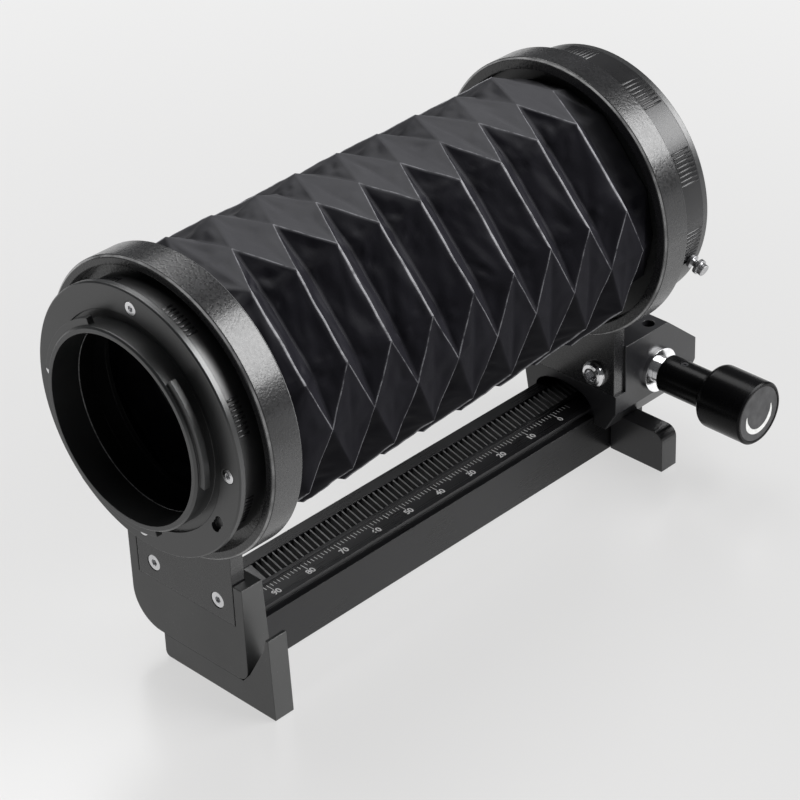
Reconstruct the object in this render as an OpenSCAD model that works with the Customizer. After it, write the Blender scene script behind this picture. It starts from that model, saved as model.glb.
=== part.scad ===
// Macro bellows unit: a camera standard and a sliding lens standard on a toothed rail,
// joined by a folded bellows.
// The origin is the mouth of the tripod socket under the rail, on the plane the unit stands on.
// X points across the rail to the focusing knob, Y from the camera end to the lens end, Z up.

/* [Rail] */
// Length of the rail
rail_len = 128; // [115:1:160]
// Width of the rail over its side faces
rail_w = 18.8; // [18.4:0.1:24]
// Height of the rail
rail_h = 13.1; // [12.6:0.1:17]
// Distance from the tripod socket to the camera end of the rail
socket_setback = 56.1; // [40:0.1:70]
// Width of the lip along the top of the rail
lip_w = 16.8; // [16.4:0.1:17.2]
// Thickness of that lip
lip_t = 0.8; // [0.6:0.1:1.2]
// Height of the guide groove under the lip
guide_h = 1.1; // [0.9:0.1:1.5]
// Depth of the guide groove from the side face
guide_d = 1.9; // [1.6:0.1:2.2]
// Width of the sunk strip that carries the scale
scale_w = 4.8; // [3:0.1:5]
// Depth of that strip
scale_d = 0.5; // [0.2:0.1:0.7]
// Distance from the rail's centre plane to the middle of the scale strip
scale_x = 4.6; // [4.4:0.1:5]
// Core diameter of the tripod thread
socket_d = 5.1; // [4:0.1:8.4]
// Depth of the tripod thread
socket_depth = 8; // [6:0.5:8.5]
// Diameter of the threaded insert
insert_d = 9; // [8:0.5:11]

/* [Rack and pinion] */
// Normal module of the teeth
tooth_module = 0.5; // [0.4:0.05:0.6]
// Slant of the teeth across the rack, in degrees
helix = 13; // [0:1:20]
// Number of teeth on the pinion
pinion_teeth = 30; // [24:1:31]
// Width of the rack
rack_w = 6.4; // [5:0.1:7]
// Height of the rack bar
rack_h = 3.2; // [2.5:0.1:4]
// Distance from the rail's centre plane to the middle of the rack, away from the knob
rack_x = 2; // [1.5:0.1:2.2]
// Depth of the tooth tips below the rail's top face
rack_sink = 0.2; // [0.1:0.1:0.5]
// Width of the pinion
pinion_w = 5.4; // [4:0.1:6]
// Play between the teeth, along the rack
backlash = 0.12; // [0.08:0.02:0.2]
// Distance from the front of the lens standard to the pinion's axis
pinion_setback = 14.8; // [14:0.1:16]

/* [Standards] */
// Height of the optical axis above the table
axis_h = 66.3; // [66:0.1:80]
// Thickness of the camera bracket
bracket_t = 6.5; // [5:0.1:9]
// Width of the camera bracket
bracket_w = 35; // [33:0.5:42]
// Height of the top of the camera bracket
bracket_top = 28.9; // [27:0.1:30]
// Height of the bottom edge of the camera bracket
bracket_bottom = 5.7; // [5:0.1:6.5]
// Thickness of the screwed tab below each ring
tab_t = 3.4; // [2.5:0.1:4]
// Width of the tab of the camera ring
tab_w = 29.4; // [26:0.1:30]
// Height of the bottom edge of both tabs
tab_bottom = 19; // [18.5:0.1:20]
// Distance of the tab screws from the centre plane
tab_screw_x = 9.8; // [8:0.1:11]
// Height of the tab screws
tab_screw_z = 23.2; // [22.5:0.1:24]
// Distance of the lens standard's front from the tripod socket, drawn out
carriage_front = 54.6; // [45:0.1:70]
// Length of the carriage block behind the tab
block_len = 25; // [24:0.5:32]
// Height of the top of the carriage block
block_top = 31; // [30.6:0.1:31.6]
// Distance of the knob-side face of the carriage from the centre plane
block_right = 16; // [15:0.1:20]
// Distance of the other side face from the centre plane
block_left = 14.6; // [13:0.1:18]
// Reach of both feet to the knob side
foot_reach = 25.2; // [22:0.1:34]
// Height of the camera foot's raised ear
ear_h = 19.8; // [14:0.1:22]
// Thickness of both feet
foot_t = 5.1; // [4:0.1:6]
// Height of the lens foot
lens_foot_h = 10; // [9.6:0.1:10.8]

/* [Rings and mounts] */
// Outer diameter of the two cast rings
ring_d = 66; // [64:0.5:66.4]
// Length of the camera ring
camera_ring_len = 8.2; // [7:0.1:10]
// Distance the camera ring stands proud of the bracket
ring_lead = 2.9; // [2:0.1:4]
// Length of the lens ring
lens_ring_len = 7.6; // [7:0.1:10]
// Distance the lens ring stands in front of its tab
lens_ring_lead = 3.7; // [3:0.1:5]
// Depth of the lens ring's hollow for the bellows
lens_cup_depth = 3.7; // [3:0.1:5]
// Inner diameter of the rings' hollows for the bellows
cup_d = 60.8; // [60.6:0.1:62]
// Bore of both ring floors
floor_bore = 49; // [48:0.1:50]
// Diameter of the lens adapter, and of the seat for the camera one
adapter_d = 60.8; // [60:0.1:61.6]
// Diameter of the camera adapter
camera_adapter_d = 56.8; // [55.6:0.1:58]
// Length of the camera adapter in front of its ring
camera_adapter_len = 4.1; // [3:0.1:6]
// Length of the lens adapter behind its ring
lens_adapter_len = 8.1; // [7.5:0.1:10]
// Diameter of the camera mount's flange
flange_d = 59.4; // [58:0.1:61]
// Thickness of both mount flanges at the rim
flange_t = 1.5; // [1.2:0.1:2]
// Inner diameter of the camera bayonet
camera_throat_d = 41.4; // [40:0.1:42]
// Outer diameter of the camera bayonet's tube
camera_spigot_d = 44; // [43.6:0.1:44.4]
// Height of the camera bayonet in front of its flange
spigot_len = 4.3; // [4:0.1:6]
// Inner diameter of the lens mount
lens_throat_d = 44.4; // [44:0.1:44.8]
// Thickness of the lens mount plate
lens_plate_t = 2; // [1.5:0.1:2.5]
// Depth of the lens mount's skirt behind the plate
skirt_len = 4; // [3.5:0.1:5]
// Radius of the circle of mount screws
mount_screw_r = 26.2; // [25.6:0.1:26.8]

/* [Bellows] */
// Number of half folds
half_folds = 19; // [11:2:25]
// Radius over the corners of the outer folds
fold_outer = 31.8; // [30:0.1:32.4]
// Radius at the corners of the inner folds
fold_inner = 25.6; // [25:0.1:27]
// Angle taken by each of the four flat sides
side_span = 39; // [30:1:50]
// Thickness of the bellows cloth
cloth_t = 0.6; // [0.4:0.1:1]

/* [Knob] */
// Diameter of the drive shaft
shaft_d = 6.4; // [5:0.1:7]
// Outer diameter of the bush that carries the shaft
bush_d = 8.4; // [8:0.1:9]
// Diameter of the bush's collar
bush_collar_d = 10.8; // [10:0.1:13]
// Length of the slim sleeve behind the knob
sleeve_len = 12; // [6:0.5:20]
// Diameter of the sleeve
sleeve_d = 9; // [8.6:0.1:12]
// Diameter of the knob
knob_d = 15.2; // [12:0.1:24]
// Length of the knob's grip
knob_len = 11.8; // [8:0.1:20]

/* [Fits] */
// Running clearance of shafts and pins, on the radius
run = 0.05; // [0.02:0.01:0.08]
// Clearance of the carriage on the rail, on each face
slide = 0.05; // [0.03:0.01:0.1]
// Air between a ring and the plate or block below it
ring_gap = 0.4; // [0.3:0.1:1]

/* [Hidden] */
$fn = 96;
over = 1;                               // how far a cutter passes the face that it opens

// Rail and rack
rail_y0 = -socket_setback;
rail_y1 = rail_y0 + rail_len;
guide_top = rail_h - lip_t;
guide_floor = guide_top - guide_h;
guide_half = rail_w / 2 - guide_d;
rack_top = rail_h - rack_sink;
rack_bottom = rack_top - rack_h;
rack_start = 6;                         // plain groove at the camera end of the rail
rack_land = 8.5;                        // toothless start of the rack, which takes its screw
rack_screw_d = 2.6;
pressure = 20;
pitch = PI * tooth_module / cos(helix);
pitch_r = pinion_teeth * tooth_module / cos(helix) / 2;
pitch_z = rack_top - tooth_module;
dedendum = 1.25 * tooth_module;
pinion_y = carriage_front + pinion_setback;
pinion_z = pitch_z + pitch_r;

// Standards
bracket_y0 = rail_y0 - bracket_t;
camera_ring_y0 = bracket_y0 - ring_lead;
camera_ring_y1 = camera_ring_y0 + camera_ring_len;
adapter_sink = 3;                       // depth of the adapter's seat in the camera ring
frame_t = 1;                            // thickness of the frames that hold the cloth
camera_floor_y1 = camera_ring_y1 - 2.2;
tab_y1 = carriage_front + tab_t;
lens_ring_y0 = carriage_front - lens_ring_lead;
lens_ring_y1 = lens_ring_y0 + lens_ring_len;
bellows_y0 = camera_floor_y1 + frame_t;
lens_floor_y0 = lens_ring_y0 + lens_cup_depth;
bellows_y1 = lens_floor_y0 - frame_t;
half_fold = (bellows_y1 - bellows_y0) / half_folds;     // half the pitch of the folds, drawn out
camera_flange_y1 = camera_ring_y0 - camera_adapter_len;
camera_flange_y0 = camera_flange_y1 - flange_t;
spigot_y0 = camera_flange_y0 - spigot_len;
camera_screw_angles = [-3, 87, 177, 267];
lens_screw_angles = [25, 115, 205, 295];
lens_plate_y0 = lens_ring_y1 + lens_adapter_len;
lens_plate_y1 = lens_plate_y0 + lens_plate_t;
block_y1 = tab_y1 + block_len;
jaw_y1 = block_y1 - 3;
jaw_bottom = 9.2;
left_jaw_bottom = 8;
jaw_right = rail_w / 2 + 3.5;
jaw_left = rail_w / 2 + 1.2;
lip_left = rail_w / 2 + 2.6;
lens_tab_w = 30.8;
tongue_len = 12;
tongue_w = 10;
tongue_t = 2.9;
foot_left = 8.5;
lens_foot_y0 = carriage_front + 5.6;
lens_foot_x0 = rail_w / 2 + 0.35;

// Shaft, bush and knob
pocket_gap = 0.7;
pocket_x0 = -rack_x - pinion_w / 2 - pocket_gap;
pocket_x1 = -rack_x + pinion_w / 2 + pocket_gap;
shaft_x0 = -block_left + 4;
collar_t = 1;
neck = 2;                               // bright shaft left showing beside the bush
sleeve_x0 = block_right + collar_t + neck;
cone_x0 = sleeve_x0 + sleeve_len;
knob_x0 = cone_x0 + 2.8;
knob_x1 = knob_x0 + knob_len;
cap_t = 0.8;
shaft_x1 = knob_x1 - 4;
bush_x0 = 7;

// Lens release
release_angle = -20;
release_r = 26.3;
release_pin_d = 2;
release_travel = 2.2;
release_proud = 1.4;
release_tip_d = 1.6;
release_pin_y0 = lens_plate_y1 + release_proud - 6.6;
stem_y = release_pin_y0 + 1;
stem_d = 1.6;
pocket_floor = 1.5;                     // thickness of the lens adapter's floor

// ---- helpers ----

// A box given by its low and high limits on each axis
module box(x, y, z) {
    translate([x[0], y[0], z[0]])
        cube([x[1] - x[0], y[1] - y[0], z[1] - z[0]]);
}

// An outline in X and Z, drawn out along Y
module along_y(y0, y1) {
    translate([0, y1, 0])
        rotate([90, 0, 0])
            linear_extrude(y1 - y0)
                children();
}

// An outline in Y and Z, drawn out along X
module along_x(x0, x1) {
    translate([x0, 0, 0])
        rotate([90, 0, 90])
            linear_extrude(x1 - x0)
                children();
}

// The optical axis, with the child's Z along Y
module on_axis(y = 0) {
    translate([0, y, axis_h])
        rotate([-90, 0, 0])
            children();
}

// A place at a radius and an angle about the optical axis; 0 is towards +X and 90 is up
module at_angle(angle, r) {
    rotate([0, 0, -angle])
        translate([r, 0, 0])
            children();
}

// The drive shaft's axis, with the child's Z along X
module on_shaft(x = 0) {
    translate([x, pinion_y, pinion_z])
        rotate([0, 90, 0])
            children();
}

// A plain tube or washer
module tube(r_out, r_in, h) {
    difference() {
        cylinder(r = r_out, h = h);
        translate([0, 0, -over])
            cylinder(r = r_in, h = h + 2 * over);
    }
}

// A screw whose head's outer face lies at z = 0 and whose shank runs to +Z, with a cross or hex recess
module screw(head_d, head_h, shank_d, length, socket) {
    difference() {
        union() {
            cylinder(d = head_d, h = head_h);
            cylinder(d = shank_d, h = length);
        }
        translate([0, 0, -over])
            cylinder(d = socket, h = over + head_h * 0.6, $fn = 6);
    }
}

// Points of an arc
function arc(cx, cy, r, a0, a1, n) =
    [for (i = [0 : n]) [cx + r * cos(a0 + (a1 - a0) * i / n), cy + r * sin(a0 + (a1 - a0) * i / n)]];

// ---- rail ----

// Cross-section of the rail, with the guide groove under each edge of its top
module rail_section() {
    half = rail_w / 2;
    polygon([
        [-half, 0], [half, 0],
        [half, guide_floor], [guide_half, guide_floor],
        [guide_half, guide_top], [lip_w / 2, guide_top],
        [lip_w / 2, rail_h], [-lip_w / 2, rail_h],
        [-lip_w / 2, guide_top], [-guide_half, guide_top],
        [-guide_half, guide_floor], [-half, guide_floor]
    ]);
}

module rail() {
    color("#26272a")
        difference() {
            along_y(rail_y0, rail_y1) rail_section();
            // groove that holds the rack
            box([-rack_x - rack_w / 2, -rack_x + rack_w / 2],
                [rail_y0 - over, rail_y1 + over], [rack_bottom, rail_h + over]);
            // sunk strip for the scale
            box([scale_x - scale_w / 2, scale_x + scale_w / 2],
                [rail_y0 - over, rail_y1 + over], [rail_h - scale_d, rail_h + over]);
            // seat of the tripod insert
            translate([0, 0, -over]) cylinder(d = insert_d, h = socket_depth + over);
            // slot for the bracket's tongue, and its screws from below
            box([-tongue_w / 2, tongue_w / 2], [rail_y0 - over, rail_y0 + tongue_len],
                [bracket_bottom, bracket_bottom + tongue_t]);
            for (x = [-2.5, 2.5])
                translate([x, rail_y0 + tongue_len / 2, -over])
                    cylinder(d = 2.4, h = bracket_bottom + 2 * over);
            for (x = [-2.5, 2.5])
                translate([x, rail_y0 + tongue_len / 2, -over])
                    cylinder(d = 4.4, h = 1.6 + over);
            // rack screw
            translate([-rack_x, rail_y0 + rack_start + rack_land / 2, rack_bottom - 1])
                cylinder(d = 1.6, h = 1 + over);
        }
}

// Space between two teeth, across the teeth
module tooth_gap() {
    half = PI * tooth_module / 4 + backlash / 4;
    rise = tooth_module + 0.3;
    polygon([
        [-half + dedendum * tan(pressure), -dedendum],
        [half - dedendum * tan(pressure), -dedendum],
        [half + rise * tan(pressure), rise],
        [-half - rise * tan(pressure), rise]
    ]);
}

module rack() {
    y0 = rail_y0 + rack_start;
    first = ceil((y0 + rack_land - pinion_y) / pitch);
    last = ceil((rail_y1 - pinion_y) / pitch);
    reach = rack_w / 2 / cos(helix) + over;
    color("#3a3a3c")
        difference() {
            box([-rack_x - rack_w / 2, -rack_x + rack_w / 2], [y0, rail_y1], [rack_bottom, rack_top]);
            for (i = [first : last])
                translate([-rack_x, pinion_y + i * pitch, pitch_z])
                    rotate([0, 0, -helix])
                        along_x(-reach, reach) tooth_gap();
            translate([-rack_x, y0 + rack_land / 2, rack_bottom - over])
                cylinder(d = rack_screw_d / 2 + 0.3, h = rack_h + 2 * over);
            translate([-rack_x, y0 + rack_land / 2, rack_top - 1.2])
                cylinder(d = rack_screw_d + 1.6, h = 1.2 + over);
        }
}

module rack_screw() {
    color("#6b6c70")
        translate([-rack_x, rail_y0 + rack_start + rack_land / 2, rack_top - 0.3])
            mirror([0, 0, 1]) screw(rack_screw_d + 1.4, 0.9, rack_screw_d / 2, rack_h, 1.5);
}

module tripod_insert() {
    color("#8d8e92") tube(insert_d / 2, socket_d / 2, socket_depth);
}

// ---- camera standard ----

// Outline of the bracket plate, with its large lower corner and its small one
module bracket_outline() {
    half = bracket_w / 2;
    polygon(concat(
        [[half, bracket_top], [-half, bracket_top]],
        arc(-half + 8, bracket_bottom + 8, 8, 180, 270, 10),
        arc(half - 3, bracket_bottom + 3, 3, 270, 360, 6)
    ));
}

module camera_bracket() {
    color("#242528")
        difference() {
            union() {
                intersection() {
                    along_y(bracket_y0, rail_y0 + 2) bracket_outline();
                    // the back slopes: the plate is thinner at the top
                    along_x(-bracket_w, bracket_w)
                        polygon([
                            [bracket_y0, 0], [bracket_y0, bracket_top + over],
                            [rail_y0 - 0.9, bracket_top + over],
                            [rail_y0, rail_h], [rail_y0 + 0.9, bracket_bottom + 2], [rail_y0 + 0.9, 0]
                        ]);
                }
                // tongue in the rail
                box([-tongue_w / 2, tongue_w / 2], [rail_y0 - over, rail_y0 + tongue_len],
                    [bracket_bottom, bracket_bottom + tongue_t]);
            }
            // room for the end of the rail on both sides of the tongue
            for (s = [-1, 1])
                box([s > 0 ? tongue_w / 2 : -rail_w / 2 - 0.1, s > 0 ? rail_w / 2 + 0.1 : -tongue_w / 2],
                    [rail_y0, rail_y0 + 3], [0, rail_h + over]);
            box([-rail_w / 2 - 0.1, rail_w / 2 + 0.1], [rail_y0, rail_y0 + 3],
                [bracket_bottom + tongue_t, rail_h + over]);
            ring_room(camera_ring_y0, camera_ring_y1);
            // recess for the ring's tab
            box([-tab_w / 2 - 0.3, tab_w / 2 + 0.3], [bracket_y0 - over, bracket_y0 + tab_t],
                [tab_bottom, bracket_top + over]);
            for (s = [-1, 1])
                translate([s * tab_screw_x, 0, tab_screw_z])
                    rotate([-90, 0, 0])
                        translate([0, 0, bracket_y0]) cylinder(d = 1.8, h = bracket_t - 1);
            for (x = [-2.5, 2.5])
                translate([x, rail_y0 + tongue_len / 2, bracket_bottom - over])
                    cylinder(d = 2.2, h = tongue_t - 0.4 + over);
            for (x = [-3, 8])
                translate([x, bracket_y0 + foot_t / 2, bracket_bottom - over])
                    cylinder(d = 2.2, h = 6 + over);
        }
}

// The camera foot is a low bar that rises to an ear beside the bracket
module camera_foot() {
    color("#242528")
        difference() {
            along_y(bracket_y0, bracket_y0 + foot_t)
                polygon(concat(
                    [[-foot_left, bracket_bottom]],
                    arc(-foot_left + 1.2, 1.2, 1.2, 180, 270, 4),
                    [[foot_reach, 0], [foot_reach - 0.7, ear_h],
                     [foot_reach - 1.5, ear_h], [foot_reach - 2.2, ear_h - 3],
                     [bracket_w / 2 + 0.7, bracket_bottom + 2.6], [bracket_w / 2 - 1.5, bracket_bottom]]
                ));
            for (x = [-3, 8])
                translate([x, bracket_y0 + foot_t / 2, -over])
                    cylinder(d = 2.4, h = bracket_bottom + 2 * over);
            for (x = [-3, 8])
                translate([x, bracket_y0 + foot_t / 2, -over])
                    cylinder(d = 4.2, h = 1.6 + over);
        }
}

module camera_foot_screws() {
    color("#6b6c70")
        for (x = [-3, 8])
            translate([x, bracket_y0 + foot_t / 2, 0.4])
                screw(4, 1.2, 2, bracket_bottom + 4.5, 2);
}

module bracket_screws() {
    color("#6b6c70")
        for (x = [-2.5, 2.5])
            translate([x, rail_y0 + tongue_len / 2, 0.4])
                screw(4.2, 1.2, 2, bracket_bottom + 1.8, 2);
}

// Room for a cast ring, cut from what stands below it
module ring_room(y0, y1) {
    on_axis(y0 - ring_gap) cylinder(d = ring_d + 2 * ring_gap, h = y1 - y0 + 2 * ring_gap);
}

// Profile of a cast ring as radius and depth, with small bevels on both outer edges
module ring_profile(length, bevel) {
    polygon([
        [floor_bore / 2, 0], [ring_d / 2 - bevel, 0], [ring_d / 2, bevel],
        [ring_d / 2, length - bevel], [ring_d / 2 - bevel, length], [floor_bore / 2, length]
    ]);
}

module camera_ring() {
    color("#1d1d1f")
        difference() {
            union() {
                on_axis(camera_ring_y0) rotate_extrude($fn = 180) ring_profile(camera_ring_len, 0.6);
                box([-tab_w / 2, tab_w / 2], [bracket_y0, bracket_y0 + tab_t],
                    [tab_bottom, axis_h - ring_d / 2 + 4]);
            }
            // seat of the adapter in front, hollow for the bellows behind
            on_axis(camera_ring_y0 - over)
                cylinder(d = adapter_d + 1.2, h = adapter_sink + over);
            on_axis(camera_floor_y1)
                cylinder(d = cup_d, h = camera_ring_y1 - camera_floor_y1 + over);
            on_axis(camera_ring_y0 - over) cylinder(d = floor_bore, h = camera_ring_len + 2 * over);
            for (s = [-1, 1])
                translate([s * tab_screw_x, bracket_y0 - over, tab_screw_z])
                    rotate([-90, 0, 0]) cylinder(d = 2.2, h = tab_t + 2 * over);
            for (s = [-1, 1])
                translate([s * tab_screw_x, bracket_y0 - over, tab_screw_z])
                    rotate([-90, 0, 0]) cylinder(d = 3.8, h = 1.1 + over);
        }
}

module camera_tab_screws() {
    color("#b9bbbf")
        for (s = [-1, 1])
            translate([s * tab_screw_x, bracket_y0 + 0.1, tab_screw_z])
                rotate([-90, 0, 0]) screw(3.6, 1, 1.8, bracket_t - 1.2, 1.7);
}

// Knurled ring between the camera ring and the camera mount, with the spigot that screws into the floor
module camera_adapter() {
    seat = camera_adapter_len + adapter_sink;
    tail = 2.6;
    inner = camera_spigot_d / 2 + 0.5;
    color("#1a1a1c")
        difference() {
            on_axis(camera_flange_y1)
                rotate_extrude($fn = 180)
                    polygon([
                        [inner, 0], [camera_adapter_d / 2, 0], [camera_adapter_d / 2, seat],
                        [floor_bore / 2 - 0.1, seat], [floor_bore / 2 - 0.1, seat + tail],
                        [inner, seat + tail]
                    ]);
            for (a = camera_screw_angles)
                on_axis(camera_flange_y1 - over)
                    at_angle(a, mount_screw_r) cylinder(d = 1.6, h = 3.5 + over);
        }
}

// Camera mount: flange with a sunk inner ring, tube and three bayonet claws
module camera_bayonet() {
    r_in = camera_throat_d / 2;
    r_out = camera_spigot_d / 2;
    claw = 1.5;
    color("#161618")
        difference() {
            union() {
                on_axis(spigot_y0)
                    rotate_extrude($fn = 180)
                        polygon([
                            [r_in, 0], [r_out - 0.4, 0], [r_out, 0.4],
                            [r_out, spigot_len + 0.6], [r_out + 2, spigot_len + 0.6],
                            [r_out + 2, spigot_len], [flange_d / 2 - 0.3, spigot_len],
                            [flange_d / 2, spigot_len + 0.3], [flange_d / 2, spigot_len + flange_t],
                            [r_out, spigot_len + flange_t], [r_out, spigot_len + flange_t + 5],
                            [r_in, spigot_len + flange_t + 5]
                        ]);
                for (a = [48, 168, 288])
                    on_axis(spigot_y0 + 0.8)
                        rotate([0, 0, -a])
                            rotate_extrude(angle = 58, $fn = 180)
                                translate([r_out - 0.2, 0]) square([claw + 0.2, 1.4]);
            }
            for (a = camera_screw_angles)
                on_axis(camera_flange_y0 - over)
                    at_angle(a, mount_screw_r) cylinder(d = 1.8, h = flange_t + 2 * over);
            for (a = camera_screw_angles)
                on_axis(camera_flange_y0 - over)
                    at_angle(a, mount_screw_r) cylinder(d = 3.2, h = 0.9 + over);
            // slot for the camera's locking pin
            on_axis(camera_flange_y0 - over)
                for (t = [-2.5, 0, 2.5])
                    at_angle(-33 + t, mount_screw_r) cylinder(d = 2.2, h = 1.1 + over);
        }
}

module camera_mount_screws() {
    color("#b9bbbf")
        for (a = camera_screw_angles)
            on_axis(camera_flange_y0)
                at_angle(a, mount_screw_r) screw(3, 0.85, 1.6, 4, 1.4);
}

module bellows_frame(y) {
    on_axis(y) tube(cup_d / 2 - 0.2, fold_inner - 2.6, frame_t);
}

module camera_bellows_frame() {
    color("#202022") bellows_frame(camera_floor_y1);
}

module lens_bellows_frame() {
    color("#202022") bellows_frame(bellows_y1);
}

// ---- bellows ----

// A square tube that stands on its corner: four flat sides fold together,
// and between each two of them a corner folds the opposite way, half a fold later.
side_count = 4;
first_side = 41;
end_r = (fold_outer + fold_inner) / 2 - 1.6;
function fold_angle(j) =
    first_side + 360 / side_count * floor(j / 3) + [-side_span / 2, side_span / 2, 180 / side_count][j % 3];
function fold_r(k, j) =
    k == 0 || k == half_folds ? end_r
    : (k + (j % 3 == 2 ? 1 : 0)) % 2 == 1 ? fold_outer : fold_inner;
function fold_point(k, j, inset) =
    [(fold_r(k, j) - inset) * cos(fold_angle(j)),
     bellows_y0 + k * half_fold,
     axis_h + (fold_r(k, j) - inset) * sin(fold_angle(j))];

module bellows() {
    n = 3 * side_count;
    rows = half_folds + 1;
    shell = n * rows;
    outer = [for (k = [0 : half_folds]) for (j = [0 : n - 1]) fold_point(k, j, 0)];
    inner = [for (k = [0 : half_folds]) for (j = [0 : n - 1]) fold_point(k, j, cloth_t)];
    // each quad of the folded skin is cut along its outer crease
    skin = [for (k = [0 : half_folds - 1]) for (j = [0 : n - 1])
        let (a = k * n + j, b = k * n + (j + 1) % n, c = b + n, d = a + n,
             cross = fold_r(k, j) + fold_r(k + 1, (j + 1) % n)
                 >= fold_r(k, (j + 1) % n) + fold_r(k + 1, j))
        cross ? [[a, b, c], [a, c, d]] : [[a, b, d], [b, c, d]]];
    flat_skin = [for (pair = skin) for (f = pair) f];
    lining = [for (f = flat_skin) [f[2] + shell, f[1] + shell, f[0] + shell]];
    near_rim = [for (j = [0 : n - 1]) let (b = (j + 1) % n)
        each [[b, j, j + shell], [b, j + shell, b + shell]]];
    last = half_folds * n;
    far_rim = [for (j = [0 : n - 1]) let (b = (j + 1) % n)
        each [[last + j, last + b, last + b + shell], [last + j, last + b + shell, last + j + shell]]];
    color("#2b2b33")
        polyhedron(points = concat(outer, inner), faces = concat(flat_skin, lining, near_rim, far_rim));
}

// ---- lens standard ----

// Outline of the carriage below the block: roof, jaws and the keys in the rail's grooves
module saddle_outline(top) {
    inner = rail_w / 2 + slide;
    lip = lip_w / 2 + slide;
    key = guide_half + slide;
    polygon([
        [-inner, left_jaw_bottom], [-jaw_left, left_jaw_bottom],
        [-lip_left, rail_h + 3.4], [-lip_left, top],
        [block_right, top], [block_right, rail_h + 1.2],
        [jaw_right, jaw_bottom], [inner, jaw_bottom],
        [inner, guide_floor + slide], [key, guide_floor + slide],
        [key, guide_top - slide], [lip, guide_top - slide],
        [lip, rail_h + slide], [-lip, rail_h + slide],
        [-lip, guide_top - slide], [-key, guide_top - slide],
        [-key, guide_floor + slide], [-inner, guide_floor + slide]
    ]);
}

module carriage() {
    color("#2a2b2e")
        difference() {
            union() {
                along_y(carriage_front, tab_y1 + over) saddle_outline(tab_bottom);
                along_y(tab_y1, jaw_y1) saddle_outline(tab_bottom + over);
                along_x(-block_left, block_right)
                    polygon([
                        [tab_y1, tab_bottom], [tab_y1, block_top], [block_y1 - 10.2, block_top],
                        [block_y1, block_top - 8.6], [block_y1, tab_bottom]
                    ]);
                // rear of the block, over the end of the rail
                along_x(-lip_left, block_right)
                    polygon([
                        [jaw_y1 - over, rail_h + slide], [jaw_y1, rail_h + slide],
                        [block_y1, rail_h + 3.5], [block_y1, tab_bottom + over],
                        [jaw_y1 - over, tab_bottom + over]
                    ]);
            }
            ring_room(lens_ring_y0, lens_ring_y1);
            // arch over the rack at the front
            along_y(carriage_front - over, carriage_front + 5.4)
                polygon(arc_arch(rail_h, lip_w / 2, 4));
            // pinion pocket, opening onto the rack
            on_shaft(pocket_x0) cylinder(r = pitch_r + tooth_module + 0.7, h = pocket_x1 - pocket_x0);
            // bearing in the far wall, bush seat in the near one
            on_shaft(shaft_x0 - 0.3) cylinder(d = shaft_d + 2 * run, h = pocket_x0 - shaft_x0 + over);
            on_shaft(pocket_x1 - over) cylinder(d = shaft_d + 0.6, h = block_right);
            on_shaft(bush_x0) cylinder(d = bush_d, h = block_right - bush_x0 + over);
            // grub screw onto the bush
            translate([13, pinion_y, pinion_z]) cylinder(d = 3, h = block_top - pinion_z + over);
            // screws of the ring and of the foot
            for (s = [-1, 1])
                translate([s * tab_screw_x, tab_y1 - over, tab_screw_z])
                    rotate([-90, 0, 0]) cylinder(d = 3, h = 6 + over);
            translate([lens_foot_x0 + 1.7, lens_foot_y0 + foot_t / 2, jaw_bottom - over])
                cylinder(d = 1.6, h = 4 + over);
        }
}

// Half an ellipse that stands on the rail's top
function arc_arch(z, a, b) = [for (i = [0 : 16]) [a * cos(180 * i / 16), z - 0.01 + b * sin(180 * i / 16)]];

module lens_foot() {
    slant = (block_right - jaw_right) / (rail_h + 1.2 - jaw_bottom);
    round_r = 2.5;
    color("#2a2b2e")
        difference() {
            along_y(lens_foot_y0, lens_foot_y0 + foot_t)
                polygon(concat(
                    [[lens_foot_x0, 0], [foot_reach, 0]],
                    arc(foot_reach - round_r, lens_foot_h - round_r, round_r, 0, 90, 6),
                    [[jaw_right + slant * (lens_foot_h - jaw_bottom), lens_foot_h],
                     [jaw_right, jaw_bottom], [lens_foot_x0, jaw_bottom]]
                ));
            translate([lens_foot_x0 + 1.7, lens_foot_y0 + foot_t / 2, -over])
                cylinder(d = 1.8, h = jaw_bottom + 2 * over);
            translate([lens_foot_x0 + 1.7, lens_foot_y0 + foot_t / 2, -over])
                cylinder(d = 3.2, h = 1.4 + over);
        }
}

module lens_foot_screw() {
    color("#6b6c70")
        translate([lens_foot_x0 + 1.7, lens_foot_y0 + foot_t / 2, 0.3])
            screw(3, 1, 1.5, jaw_bottom + 3, 1.4);
}

module lens_ring() {
    color("#1d1d1f")
        difference() {
            union() {
                on_axis(lens_ring_y0) rotate_extrude($fn = 180) ring_profile(lens_ring_len, 0.6);
                box([-lens_tab_w / 2, lens_tab_w / 2], [carriage_front, tab_y1],
                    [tab_bottom, axis_h - ring_d / 2 + 4]);
            }
            on_axis(lens_ring_y0 - over)
                cylinder(d = cup_d, h = lens_floor_y0 - lens_ring_y0 + over);
            on_axis(lens_ring_y0) cylinder(d = floor_bore, h = lens_ring_len + over);
            for (s = [-1, 1])
                translate([s * tab_screw_x, carriage_front - over, tab_screw_z])
                    rotate([-90, 0, 0]) cylinder(d = 3.4, h = tab_t + 2 * over);
        }
}

module lens_tab_screws() {
    head = 1.7;
    color("#c4c6ca")
        for (s = [-1, 1])
            translate([s * tab_screw_x, carriage_front - head, tab_screw_z])
                rotate([-90, 0, 0])
                    difference() {
                        union() {
                            // a dome that flattens at the top
                            rotate_extrude()
                                polygon([
                                    [0, 0], [1.9, 0], [2.6, 0.25], [3.05, 0.75], [3.2, 1.3],
                                    [3.2, head], [0, head]
                                ]);
                            translate([0, 0, head - 0.2]) cylinder(d = 3, h = tab_t + 5.2);
                        }
                        translate([0, 0, -over]) cylinder(d = 3, h = over + 1, $fn = 6);
                    }
}

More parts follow.
